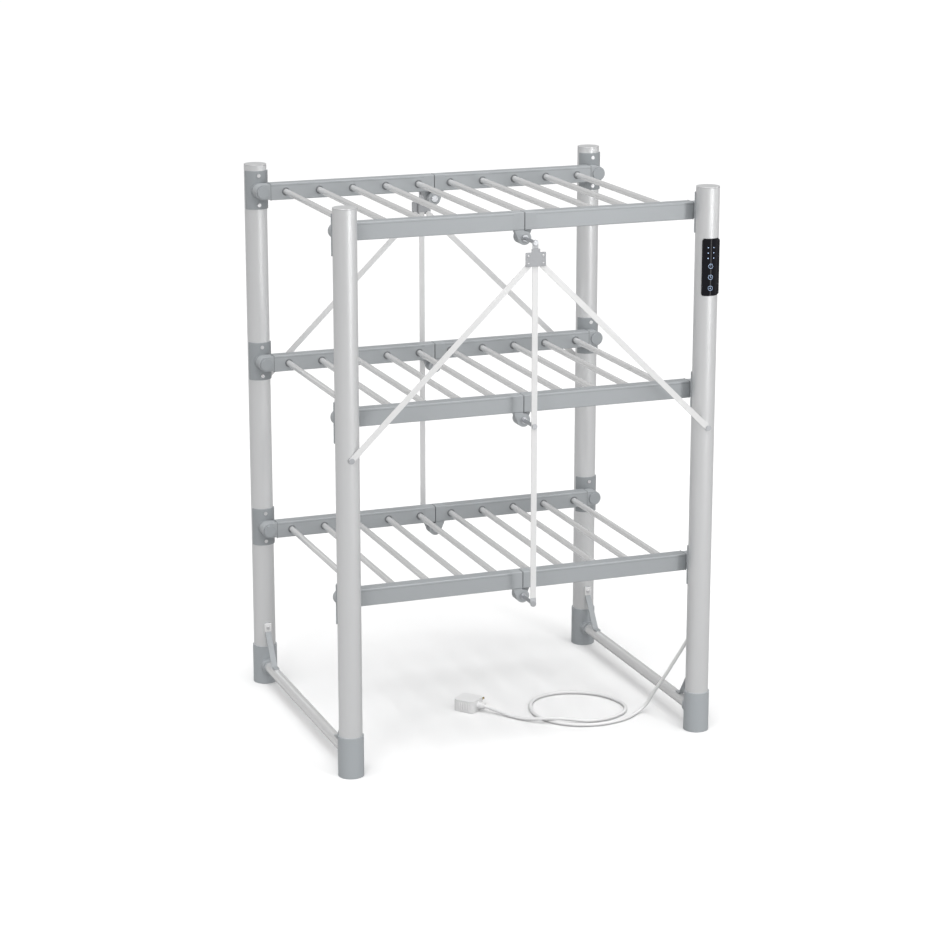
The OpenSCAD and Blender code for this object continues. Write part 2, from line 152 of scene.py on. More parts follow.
# The mains lead's route in millimetres, the same as in the part's source
LEAD_ROUTE = [
    (305, -213, 152), (301, -205, 138), (297, -196, 122), (291, -186, 103), (284, -176, 82),
    (276, -165, 60), (268, -154, 39), (260, -146, 18), (250, -144, 7), (238, -149, 3.3),
    (224, -160, 3.2), (208, -169, 3.2), (189, -175, 3.2), (166, -178, 3.2), (144, -176, 3.2),
    (123, -169, 3.2), (105, -158, 3.2), (89, -141, 3.2), (78, -119, 3.2), (73, -92, 3.2),
    (79, -60, 3.2), (93, -33, 3.2), (114, -16, 3.2), (139, -9, 3.2), (166, -11, 3.2),
    (193, -23, 3.2), (215, -42, 3.2), (230, -71, 3.2), (235, -104, 3.2), (223, -134, 3.2),
    (198, -152, 3.2), (170, -159, 3.2), (142, -158, 4.2), (117, -151, 7.5), (92, -142, 9.7),
    (68, -130, 7.5), (48, -112, 4.2), (32, -90, 3.5), (15, -65, 7), (0, -47, 10.5),
]


# ---- Sizes and colours ----


def length_setting(name, description, default):
    """A size in metres that a user may change."""
    return FloatProperty(
        name=name, description=description, default=default, min=0.0, precision=5, unit="LENGTH"
    )


def colour_setting(name, description, default):
    """A colour that a user may change."""
    return FloatVectorProperty(
        name=name, description=description, default=default, size=3, min=0.0, max=1.0, subtype="COLOR"
    )


class AirerSizes(bpy.types.PropertyGroup):
    """Sizes of the airer's finishing pieces"""

    moulding_edge: length_setting("Moulding edge", "Rounding of the plastic mouldings' edges", 0.0007)
    metal_edge: length_setting("Metal edge", "Rounding of flat metal strips and plates", 0.0003)
    plug_edge: length_setting("Plug edge", "Rounding of the plug's edges", 0.0055)
    cap_edge: length_setting("Cap edge", "Rounding of the leg caps and the gland", 0.0006)
    foot_edge: length_setting("Foot edge", "Rounding of the feet, the pivot pins' heads and the prongs", 0.0009)
    fastener_edge: length_setting("Fastener edge", "Rounding of screws, rivets, centre pins and rails", 0.0005)
    runner_edge: length_setting("Runner edge", "Rounding of the runners' plates", 0.00045)
    panel_edge: length_setting("Panel edge", "Rounding of the control panel's edges", 0.00025)
    panel_corner: length_setting("Panel corner", "Radius of the control panel's corners", 0.003)
    # Rounding of the dark sheets of painted shade in the rails' gaps
    gap_shade_edge: length_setting("Seal edge", "Rounding of the thin rubber seals", 0.0002)
    grommet_radius: length_setting("Grommet radius", "Middle radius of the ring round a heated tube", 0.0059)
    grommet_thickness: length_setting("Grommet thickness", "Half thickness of that ring", 0.0011)
    clip_width: length_setting("Clip width", "Width of the clip on a corner brace", 0.013)
    clip_thickness: length_setting("Clip thickness", "Thickness of that clip", 0.002)
    clip_edge: length_setting("Clip edge", "Rounding of that clip", 0.0007)
    clip_screw_radius: length_setting("Clip screw radius", "Radius of the screw in that clip", 0.003)
    rivet_radius: length_setting("Rivet radius", "Radius of a rivet's head on a runner", 0.0019)
    rib_radius: length_setting("Rib radius", "Half thickness of a rib on the gland and the plug's boot", 0.0007)
    grip_radius: length_setting("Grip radius", "Radius of a grip on the plug's side", 0.0011)
    lamp_radius: length_setting("Lamp radius", "Radius of an indicator lamp on the panel", 0.00085)
    key_radius: length_setting("Key radius", "Radius of a touch key's ring on the panel", 0.0037)
    key_line: length_setting("Key line", "Half thickness of a touch key's ring", 0.00022)
    lead_diameter: length_setting("Lead diameter", "Diameter of the mains lead", 0.006)


class AirerColours(bpy.types.PropertyGroup):
    """Colours of the airer's finishes"""

    leg: colour_setting("Leg", "Anodised aluminium of the legs", (0.80, 0.805, 0.81))
    tube: colour_setting("Heated tube", "Bright aluminium of the heated tubes", (0.86, 0.86, 0.86))
    rail: colour_setting("Rail", "Satin grey of the shelf rails", (0.40, 0.42, 0.435))
    moulding: colour_setting("Moulding", "Grey of the plastic mouldings", (0.33, 0.35, 0.365))
    # This dark grey is the grommets' own colour, and also the painted shade of the dark sheets in the rails'
    # gaps
    dark: colour_setting("Dark trim", "Dark grey of the grommets", (0.19, 0.20, 0.21))
    strap: colour_setting("Strap", "White of the strap and stays", (0.76, 0.76, 0.76))
    screw: colour_setting("Screw", "Bright plating of the screws", (0.72, 0.72, 0.73))
    steel: colour_setting("Steel", "Plated steel of pins and plates", (0.52, 0.53, 0.55))
    panel: colour_setting("Panel", "Black of the control panel", (0.006, 0.006, 0.009))
    glow: colour_setting("Glow", "Light of the panel's lamps and keys", (0.55, 0.72, 1.0))
    brass: colour_setting("Brass", "Brass of the plug's prongs", (0.72, 0.58, 0.30))
    board: colour_setting("Board", "Green of the circuit board", (0.03, 0.16, 0.06))
    heater: colour_setting("Heater", "Red silicone of the heating elements", (0.40, 0.09, 0.06))
    white: colour_setting("White plastic", "White of the lead, gland and plug", (0.84, 0.84, 0.84))
    floor: colour_setting("Floor", "Pale studio floor", (0.93, 0.93, 0.93))


# ---- Modelling helpers ----

MERGE_DISTANCE = 0.00001
FLAT_WITHIN = 0.5


def deselect():
    """Leaves edit mode and deselects everything."""
    if bpy.context.object and bpy.context.object.mode != "OBJECT":
        bpy.ops.object.mode_set(mode="OBJECT")
    bpy.ops.object.select_all(action="DESELECT")


def work_on(piece):
    """Makes one piece the only one selected."""
    deselect()
    piece.select_set(True)
    bpy.context.view_layer.objects.active = piece


def settle(piece, name):
    """Names a piece and puts its place and turn into its mesh."""
    piece.name = name
    piece.data.name = name
    work_on(piece)
    bpy.ops.object.transform_apply(location=True, rotation=True, scale=True)
    return piece


def smooth(piece, degrees=35):
    """Shades a piece smooth, except over its sharp edges."""
    work_on(piece)
    bpy.ops.object.shade_smooth_by_angle(angle=math.radians(degrees))
    return piece


def round_edges(piece, width, segments=2, degrees=40):
    """Rounds the edges that turn by more than the angle."""
    bevel = piece.modifiers.new("edges", "BEVEL")
    bevel.width = width
    bevel.segments = segments
    bevel.limit_method = "ANGLE"
    bevel.angle_limit = math.radians(degrees)
    work_on(piece)
    bpy.ops.object.modifier_apply(modifier=bevel.name)
    return piece


def moved(piece, matrix):
    """Puts a piece's mesh through a placing matrix."""
    piece.data.transform(matrix)
    piece.data.update()
    return piece


def copied(piece):
    """A copy of a piece with its own mesh."""
    twin = piece.copy()
    twin.data = piece.data.copy()
    bpy.context.scene.collection.objects.link(twin)
    return twin


def joined(pieces, name):
    """Joins pieces into one."""
    deselect()
    for piece in pieces:
        piece.select_set(True)
    bpy.context.view_layer.objects.active = pieces[0]
    if len(pieces) > 1:
        bpy.ops.object.join()
    pieces[0].name = name
    pieces[0].data.name = name
    return pieces[0]


def repeated(model, places, name):
    """Puts a copy of one modelled piece at each place and joins the copies."""
    copies = [moved(copied(model), Matrix.Translation(place)) for place in places]
    bpy.data.objects.remove(model)
    return joined(copies, name)


def carry(piece, body, material):
    """Gives a piece its body and its material."""
    piece.data.materials.clear()
    piece.data.materials.append(material)
    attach(piece, body)
    return piece


def paint(node, material):
    """Gives a part of the frame its material."""
    mesh = frame["nodes"][node].data
    if not mesh.materials:
        mesh.materials.append(material)
    for place in range(len(mesh.materials)):
        mesh.materials[place] = material


def slot_of(node):
    """The material slot the record gives a part of the frame."""
    for entry in frame["record"]["subparts"]:
        if entry["node"] == node:
            return entry["material_slot"]
    raise RuntimeError(f"no material slot for {node}")


def height_of(node):
    """The middle height of a part of the frame."""
    low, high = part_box(node)
    return (low.z + high.z) / 2


def sign_of(side):
    """Which way a side lies along the width."""
    return -1 if side == "left" else 1


def finished_copy(node, width, material, segments=2, shaped=None):
    """Stands a copy with rounded edges in for a part of the frame, shaped first if a way to do it is given."""
    source = frame["nodes"][node]
    piece = bpy.data.objects.new(node + "_finish", source.data.copy())
    bpy.context.scene.collection.objects.link(piece)
    work_on(piece)
    bpy.ops.mesh.customdata_custom_splitnormals_clear()
    bpy.ops.object.mode_set(mode="EDIT")
    bpy.ops.mesh.select_all(action="SELECT")
    bpy.ops.mesh.remove_doubles(threshold=MERGE_DISTANCE)
    bpy.ops.mesh.dissolve_limited(angle_limit=math.radians(FLAT_WITHIN))
    bpy.ops.object.mode_set(mode="OBJECT")
    if shaped:
        shaped(piece)
    round_edges(piece, width, segments)
    smooth(piece)
    flatten = piece.modifiers.new("flat_faces", "WEIGHTED_NORMAL")
    flatten.keep_sharp = True
    bpy.ops.object.modifier_apply(modifier=flatten.name)
    carry(piece, source["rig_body"], material)
    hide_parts(node)
    paint(node, material)
    return piece


# ---- Materials ----

# How grain is drawn out along the length of a leg, a tube and a rail
ALONG_LEGS = (1, 1, 0.02)
ALONG_TUBES = (1, 0.02, 1)
ALONG_RAILS = (0.03, 1, 1)
# A thin dark line painted along each rail under its top edge: painted shade standing for a groove
RAIL_GROOVE_SHADE_HEIGHT = 0.0104
RAIL_GROOVE_SHADE_HALF = 0.0004
RAIL_GROOVE_SHADE_TONE = 0.72


def add_socket(group, name, kind, direction, default=None):
    """Adds a named socket to a node group."""
    socket = group.interface.new_socket(name=name, in_out=direction, socket_type=kind)
    if default is not None:
        socket.default_value = default
    return socket


def surface_group():
    """Small changes over a surface: colour, roughness and height, with clouds, fine grain and a few scuffs."""
    if "airer_surface" in bpy.data.node_groups:
        return bpy.data.node_groups["airer_surface"]
    group = bpy.data.node_groups.new("airer_surface", "ShaderNodeTree")
    add_socket(group, "Vector", "NodeSocketVector", "INPUT")
    add_socket(group, "Colour", "NodeSocketColor", "INPUT", (0.8, 0.8, 0.8, 1.0))
    for name, default in (
        ("Tint", 0.06), ("Roughness", 0.4), ("Roughness Spread", 0.08), ("Cloud Scale", 9.0),
        ("Grain Scale", 900.0),
        ("Scuffs", 0.3),
    ):
        add_socket(group, name, "NodeSocketFloat", "INPUT", default)
    add_socket(group, "Colour", "NodeSocketColor", "OUTPUT")
    add_socket(group, "Roughness", "NodeSocketFloat", "OUTPUT")
    add_socket(group, "Height", "NodeSocketFloat", "OUTPUT")
    new, link = group.nodes.new, group.links.new
    into, out = new("NodeGroupInput"), new("NodeGroupOutput")

    def noise(scale_name, detail, roughness):
        node = new("ShaderNodeTexNoise")
        node.inputs["Detail"].default_value = detail
        node.inputs["Roughness"].default_value = roughness
        link(into.outputs["Vector"], node.inputs["Vector"])
        link(into.outputs[scale_name], node.inputs["Scale"])
        return node.outputs["Fac"]

    def math_node(operation, a, b):
        node = new("ShaderNodeMath")
        node.operation = operation
        for place, value in enumerate((a, b)):
            if isinstance(value, (int, float)):
                node.inputs[place].default_value = value
            else:
                link(value, node.inputs[place])
        return node.outputs[0]

    clouds = noise("Cloud Scale", 3.0, 0.5)
    grain = noise("Grain Scale", 2.0, 0.6)
    scuff_noise = new("ShaderNodeTexNoise")
    scuff_noise.inputs["Scale"].default_value = 60.0
    scuff_noise.inputs["Detail"].default_value = 5.0
    scuff_noise.inputs["Roughness"].default_value = 0.7
    link(into.outputs["Vector"], scuff_noise.inputs["Vector"])
    scuff_ramp = new("ShaderNodeMapRange")
    scuff_ramp.inputs["From Min"].default_value = 0.62
    scuff_ramp.inputs["From Max"].default_value = 0.74
    link(scuff_noise.outputs["Fac"], scuff_ramp.inputs["Value"])
    scuffs = math_node("MULTIPLY", scuff_ramp.outputs["Result"], into.outputs["Scuffs"])

    change = math_node("MULTIPLY", math_node("SUBTRACT", clouds, 0.5), into.outputs["Tint"])
    fine = math_node(
        "MULTIPLY", math_node("SUBTRACT", grain, 0.5), math_node("MULTIPLY", into.outputs["Tint"], 0.6)
    )
    level = math_node("ADD", math_node("ADD", 1.0, change), fine)
    tint = new("ShaderNodeVectorMath")
    tint.operation = "SCALE"
    link(into.outputs["Colour"], tint.inputs[0])
    link(level, tint.inputs["Scale"])
    link(tint.outputs["Vector"], out.inputs["Colour"])
    spread = math_node("MULTIPLY", math_node("SUBTRACT", clouds, 0.5), into.outputs["Roughness Spread"])
    link(
        math_node(
            "ADD", math_node("ADD", into.outputs["Roughness"], spread), math_node("MULTIPLY", scuffs, 0.15)
        ),
        out.inputs["Roughness"],
    )
    link(math_node("SUBTRACT", grain, math_node("MULTIPLY", scuffs, 0.3)), out.inputs["Height"])
    return group


def finish(name, colour, roughness, metallic=0.0, stretch=(1, 1, 1), grain=900.0, tint=0.06, spread=0.08,
           bump=0.06, scuffs=0.25, coat=0.0, specular=0.5, drawn=None):
    """A material with its own values in the surface group. The stretch draws its grain out along an axis."""
    if name in bpy.data.materials:
        return bpy.data.materials[name]
    material = bpy.data.materials.new(name)
    material.use_nodes = True
    tree = material.node_tree
    new, link = tree.nodes.new, tree.links.new
    shader = tree.nodes["Principled BSDF"]
    place, mapping = new("ShaderNodeTexCoord"), new("ShaderNodeMapping")
    mapping.inputs["Scale"].default_value = stretch
    surface = new("ShaderNodeGroup")
    surface.node_tree = surface_group()
    surface.inputs["Colour"].default_value = (*colour, 1.0)
    surface.inputs["Tint"].default_value = tint
    surface.inputs["Roughness"].default_value = roughness
    surface.inputs["Roughness Spread"].default_value = spread
    surface.inputs["Grain Scale"].default_value = grain
    surface.inputs["Scuffs"].default_value = scuffs
    relief = new("ShaderNodeBump")
    relief.inputs["Strength"].default_value = bump
    relief.inputs["Distance"].default_value = 0.0004
    link(place.outputs["Object"], mapping.inputs["Vector"])
    link(mapping.outputs["Vector"], surface.inputs["Vector"])
    link(surface.outputs["Colour"], shader.inputs["Base Color"])
    link(surface.outputs["Roughness"], shader.inputs["Roughness"])
    link(surface.outputs["Height"], relief.inputs["Height"])
    link(relief.outputs["Normal"], shader.inputs["Normal"])
    shader.inputs["Metallic"].default_value = metallic
    shader.inputs["Coat Weight"].default_value = coat
    shader.inputs["Coat Roughness"].default_value = 0.08
    shader.inputs["Specular IOR Level"].default_value = specular
    if drawn:
        tangent = new("ShaderNodeTangent")
        tangent.direction_type = "RADIAL"
        tangent.axis = drawn
        link(tangent.outputs["Tangent"], shader.inputs["Tangent"])
        shader.inputs["Anisotropic"].default_value = 0.75
    return material


def toned(colour, share):
    """A colour made darker or lighter."""
    return tuple(value * share for value in colour)


def surface_nodes(material):
    """A material's surface group, its coordinates and its shader."""
    nodes = material.node_tree.nodes
    surface = next(node for node in nodes if node.type == "GROUP")
    place = next(node for node in nodes if node.type == "TEX_COORD")
    return surface, place, nodes["Principled BSDF"]


def finish_for(slot):
    """The material for a slot of the record."""
    c = bpy.context.scene.airer_colours
    drawn_metal = {"tint": 0.03, "spread": 0.05, "bump": 0.03}
    makers = {
        "leg_aluminium": lambda: finish(
            "anodised_leg", c.leg, 0.36, 0.75, ALONG_LEGS, 1500, scuffs=0.1, drawn="Z", **drawn_metal
        ),
        "cross_tube_silver": lambda: finish(
            "silver_cross_tube", c.tube, 0.22, 0.55, ALONG_TUBES, 1500, coat=0.3, **drawn_metal
        ),
        "tube_silver": lambda: finish(
            "heated_tube", c.tube, 0.22, 0.50, ALONG_TUBES, 1600, scuffs=0.1, coat=0.4, **drawn_metal
        ),
        "rail_grey": rail_with_groove_shade,
        "moulding_grey": lambda: finish("moulded_hinge_end", c.rail, 0.42, 0.0, grain=2200, bump=0.16),
        "bracket_grey": lambda: finish("moulded_bracket", c.moulding, 0.44, 0.0, grain=2200, bump=0.16),
        "foot_grey": lambda: finish(
            "moulded_foot", toned(c.moulding, 1.2), 0.5, 0.0, grain=1800, bump=0.2, scuffs=0.8
        ),
        "cap_grey": lambda: finish("moulded_cap", toned(c.leg, 0.92), 0.36, 0.5, grain=2200, bump=0.1),
        "pin_grey": lambda: finish("pivot_pin_head", toned(c.moulding, 1.08), 0.38, 0.0, grain=2000, bump=0.1),
        "brace_grey": lambda: finish("painted_brace", c.rail, 0.38, 0.3, grain=1500),
        "screw_steel": lambda: finish("plated_screw", c.screw, 0.28, 1.0, grain=2500),
        "rivet_steel": lambda: finish("plated_rivet", c.steel, 0.32, 0.9, grain=2500),
        "pin_steel": lambda: finish("plated_pin", c.steel, 0.34, 0.85, grain=2200),
        "runner_steel": lambda: finish("plated_runner", toned(c.steel, 0.75), 0.42, 0.45, grain=1800),
        "strap_white": lambda: finish("painted_strap", c.strap, 0.34, 0.0, grain=1500, tint=0.03, coat=0.2),
        "panel_black": lambda: finish(
            "glossy_panel", c.panel, 0.09, 0.0, grain=300, tint=0.1, spread=0.03, bump=0.004, scuffs=0.1,
            specular=0.2,
        ),
        "board_green": lambda: finish("circuit_board", c.board, 0.35, 0.0, grain=700, tint=0.4),
        "gland_white": lambda: finish("rubber_gland", c.white, 0.55, 0.0, grain=2500, bump=0.12),
        "lead_white": lambda: finish("lead_sheath", c.white, 0.42, 0.0, grain=1800, tint=0.03, bump=0.06),
        "plug_white": lambda: finish("moulded_plug", c.white, 0.38, 0.0, grain=2000, tint=0.03, bump=0.08),
        "plug_brass": lambda: finish("brass_prong", c.brass, 0.24, 1.0, grain=1500),
        "heater_red": lambda: finish("silicone_heater", c.heater, 0.6, 0.0, grain=900, tint=0.15),
    }
    return makers[slot]()


def rail_with_groove_shade():
    """Satin grey with a dark line painted along a rail just under its top edge, as the shade of a groove there.
    """
    if "satin_rail_groove_shade" in bpy.data.materials:
        return bpy.data.materials["satin_rail_groove_shade"]
    rail = bpy.context.scene.airer_colours.rail
    material = finish("satin_rail_groove_shade", rail, 0.40, 0.2, ALONG_RAILS, 1400, tint=0.05, bump=0.05, scuffs=0.2)
    new, link = material.node_tree.nodes.new, material.node_tree.links.new
    surface, place, shader = surface_nodes(material)
    split = new("ShaderNodeSeparateXYZ")
    link(place.outputs["Object"], split.inputs["Vector"])
    height = split.outputs["Z"]
    for operation, value in (
        ("SUBTRACT", LOWEST_TIER - TIER_PITCH / 2), ("DIVIDE", TIER_PITCH), ("FRACT", None),
        ("MULTIPLY", TIER_PITCH),
    ):
        step = new("ShaderNodeMath")
        step.operation = operation
        if value is not None:
            step.inputs[1].default_value = value
        link(height, step.inputs[0])
        height = step.outputs[0]
    # The line darkens the rail's colour there: painted shade of the groove
    line = new("ShaderNodeMath")
    line.operation = "COMPARE"
    line.inputs[1].default_value = TIER_PITCH / 2 + RAIL_GROOVE_SHADE_HEIGHT
    line.inputs[2].default_value = RAIL_GROOVE_SHADE_HALF
    link(height, line.inputs[0])
    shade, tone = new("ShaderNodeMapRange"), new("ShaderNodeVectorMath")
    shade.inputs["To Min"].default_value = 1.0
    shade.inputs["To Max"].default_value = RAIL_GROOVE_SHADE_TONE
    link(line.outputs[0], shade.inputs["Value"])
    tone.operation = "SCALE"
    link(surface.outputs["Colour"], tone.inputs[0])
    link(shade.outputs["Result"], tone.inputs["Scale"])
    link(tone.outputs["Vector"], shader.inputs["Base Color"])
    return material


def strap_finish():
    """White paint with a grey steel link over the plate and a grey fitting at the bottom."""
    if "strap_with_fittings" in bpy.data.materials:
        return bpy.data.materials["strap_with_fittings"]
    material = finish_for("strap_white").copy()
    material.name = "strap_with_fittings"
    new, link = material.node_tree.nodes.new, material.node_tree.links.new
    surface, place, shader = surface_nodes(material)
    split = new("ShaderNodeSeparateXYZ")
    link(place.outputs["Object"], split.inputs["Vector"])
    masks = []
    for white_end, fade in ((STRAP_RING_TOP, -0.0004), (STRAP_LINK_BOTTOM, 0.0004)):
        ramp = new("ShaderNodeMapRange")
        ramp.inputs["From Min"].default_value = white_end
        ramp.inputs["From Max"].default_value = white_end + fade
        link(split.outputs["Z"], ramp.inputs["Value"])
        masks.append(ramp.outputs["Result"])
    either = new("ShaderNodeMath")
    either.operation = "MAXIMUM"
    link(masks[0], either.inputs[0])
    link(masks[1], either.inputs[1])
    blend = new("ShaderNodeMix")
    blend.data_type = "RGBA"
    first, second = (socket for socket in blend.inputs if socket.type == "RGBA")
    second.default_value = (*bpy.context.scene.airer_colours.steel, 1.0)
    link(either.outputs[0], blend.inputs["Factor"])
    link(surface.outputs["Colour"], first)
    link(next(socket for socket in blend.outputs if socket.type == "RGBA"), shader.inputs["Base Color"])
    return material


def glow_finish():
    """The pale light of the lamps and touch keys, a little uneven over each mark."""
    if "panel_marks" in bpy.data.materials:
        return bpy.data.materials["panel_marks"]
    glow = bpy.context.scene.airer_colours.glow
    material = finish("panel_marks", glow, 0.35, 0.0, grain=1200, tint=0.2)
    surface, _, shader = surface_nodes(material)
    material.node_tree.links.new(surface.outputs["Colour"], shader.inputs["Emission Color"])
    shader.inputs["Emission Strength"].default_value = 0.35
    return material


# ---- Operators ----


class AIRER_OT_camera(bpy.types.Operator):
    """Places the camera in front of the airer, to its left and above it"""

    bl_idname = "airer.camera"
    bl_label = "Camera"

    def execute(self, context):
        data = bpy.data.cameras.new("view")
        data.lens = CAMERA_LENS
        data.sensor_width = 36.0
        data.clip_end = 60.0
        camera = bpy.data.objects.new("view", data)
        camera.location = CAMERA_PLACE
        camera.rotation_euler = (math.radians(90 - CAMERA_TILT), 0.0, math.radians(-CAMERA_TURN))
        context.scene.collection.objects.link(camera)
        context.scene.camera = camera
        return {"FINISHED"}


def spline_points(points, steps):
    """Points along a smooth curve through the given ones."""
    out = []
    last = len(points) - 1
    for i in range(last):
        a, b = points[max(i - 1, 0)], points[i]
        c, d = points[i + 1], points[min(i + 2, last)]
        for k in range(steps):
            t = k / steps
            out.append(
                0.5 * (
                    2 * b + (c - a) * t
                    + (2 * a - 5 * b + 4 * c - d) * t * t
                    + (3 * b - a - 3 * c + d) * t**3
                )
            )
    return out + [points[last]]


class AIRER_OT_mains_lead(bpy.types.Operator):
    """Lays the mains lead from its gland, once round on the floor and into the plug"""

    bl_idname = "airer.mains_lead"
    bl_label = "Mains lead"

    def execute(self, context):
        sizes = context.scene.airer_sizes
        points = spline_points([Vector(p) / 1000 for p in LEAD_ROUTE], 6)
        line = bpy.data.curves.new("mains_lead", "CURVE")
        line.dimensions = "3D"
        line.bevel_depth = sizes.lead_diameter / 2
        line.bevel_resolution = 3
        line.use_fill_caps = True
        spline = line.splines.new("POLY")
        spline.points.add(len(points) - 1)
        for point, at in zip(spline.points, points):
            point.co = (*at, 1.0)
        spline.use_smooth = True
        lead = bpy.data.objects.new("mains_lead", line)
        context.scene.collection.objects.link(lead)
        carry(lead, "right_frame", finish_for("lead_white"))
        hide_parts("power_lead")
        paint("power_lead", finish_for("lead_white"))

        plug = finished_copy("plug_body", sizes.plug_edge, finish_for("plug_white"), 4)
        trim = self.plug_trim(sizes)
        prongs = finished_copy("plug_pins", sizes.foot_edge, finish_for("plug_brass"), 3)
        return {"FINISHED"}

    def plug_trim(self, sizes):
        """Widening ribs round the plug's boot, and a row of upright grips on each of its sides."""
        pieces = []
        for n in range(BOOT_RIBS):
            bpy.ops.mesh.primitive_torus_add(
                major_segments=24, minor_segments=8, major_radius=0.0050 + 0.00035 * n,
                minor_radius=sizes.rib_radius, location=(0.0022 + 0.0026 * n, 0, 0),
                rotation=(0, math.pi / 2, 0),
            )
            pieces.append(settle(bpy.context.object, f"boot_rib_{n}"))
        bpy.ops.mesh.primitive_cylinder_add(vertices=12, radius=sizes.grip_radius, depth=0.013)
        grip = round_edges(settle(bpy.context.object, "grip"), 0.0008, 3)
        places = [(0.022 + 0.0045 * n, side * GRIP_PLACE, 0) for side in (-1, 1) for n in range(GRIPS_ON_SIDE)]
        pieces.append(repeated(grip, places, "grips"))
        trim = joined(pieces, "plug_grips")
        moved(trim, Matrix.Translation(PLUG_PLACE) @ Matrix.Rotation(math.radians(PLUG_TURN), 4, "Z"))
        smooth(trim, 50)
        return carry(trim, "right_frame", finish_for("plug_white"))


class AIRER_OT_lead_gland(bpy.types.Operator):
    """Gives the gland the ribs of a strain relief"""

    bl_idname = "airer.lead_gland"
    bl_label = "Lead gland"

    def execute(self, context):
        sizes = context.scene.airer_sizes
        finished_copy("lead_gland", sizes.cap_edge, finish_for("gland_white"))
        tilt = math.radians(GLAND_TILT)
        along = Vector((0.0, math.sin(tilt), math.cos(tilt))) * GLAND_LENGTH
        ribs = []
        for n in range(GLAND_RIBS):
            share = (n + 1.5) / (GLAND_RIBS + 2)
            bpy.ops.mesh.primitive_torus_add(
                major_segments=28, minor_segments=8, major_radius=0.0064 - 0.0022 * share,
                minor_radius=sizes.rib_radius, location=GLAND_START + along * share, rotation=(-tilt, 0, 0),
            )
            ribs.append(settle(bpy.context.object, f"gland_rib_{n}"))
        ring = smooth(joined(ribs, "gland_ribs"), 60)
        carry(ring, "right_frame", finish_for("gland_white"))
        return {"FINISHED"}


class AIRER_OT_frames(bpy.types.Operator):
    """Finishes the legs, caps, feet, cross tubes and corner braces"""

    bl_idname = "airer.frames"
    bl_label = "Side frames"

    def execute(self, context):
        sizes = context.scene.airer_sizes
        for node in ("left_legs", "right_front_leg", "right_back_leg", "left_cross_tube", "right_cross_tube"):
            paint(node, finish_for(slot_of(node)))
        for side in SIDES:
            for part, width in (
                ("leg_caps", sizes.cap_edge), ("feet", sizes.foot_edge), ("corner_braces", sizes.metal_edge),
            ):
                node = f"{side}_{part}"
                finished_copy(node, width, finish_for(slot_of(node)))
            self.clips(side, sizes)
        return {"FINISHED"}

    def clips(self, side, sizes):
        """A square clip with a round screw at the top of each corner brace."""
        across = sign_of(side) * LEG.x
        bpy.ops.mesh.primitive_cube_add(size=1.0)
        clip = bpy.context.object
        clip.scale = (sizes.clip_width, sizes.clip_thickness, sizes.clip_width * CLIP_TALLNESS)
        round_edges(settle(clip, "clip"), sizes.clip_edge, 3)
        middle = BRACE_FACE - sizes.clip_thickness / 2
        clips = repeated(clip, [(across, end * middle, CLIP_HEIGHT) for end in (-1, 1)], f"{side}_brace_clips")
        carry(smooth(clips), f"{side}_frame", finish_for("strap_white"))
        bpy.ops.mesh.primitive_cylinder_add(
            vertices=24, radius=sizes.clip_screw_radius, depth=0.0016, rotation=(math.pi / 2, 0, 0)
        )
        screw = round_edges(settle(bpy.context.object, "clip_screw"), sizes.fastener_edge, 3)
        face = BRACE_FACE - sizes.clip_thickness - CLIP_SCREW_PROUD
        screws = repeated(screw, [(across, end * face, CLIP_HEIGHT) for end in (-1, 1)], f"{side}_brace_screws")
        carry(smooth(screws), f"{side}_frame", finish_for("screw_steel"))


class AIRER_OT_pivots(bpy.types.Operator):
    """Finishes the leg brackets, their screws, the pivot pins and the stays' rivets"""

    bl_idname = "airer.pivots"
    bl_label = "Leg pivots"

    def execute(self, context):
        sizes = context.scene.airer_sizes
        for side in SIDES:
            for part, width in (
                ("pivot_brackets", sizes.moulding_edge), ("bracket_screws", sizes.fastener_edge),
                ("pivot_pins", sizes.foot_edge), ("stay_rivets", sizes.fastener_edge),
            ):
                node = f"{side}_{part}"
                finished_copy(node, width, finish_for(slot_of(node)))
        return {"FINISHED"}


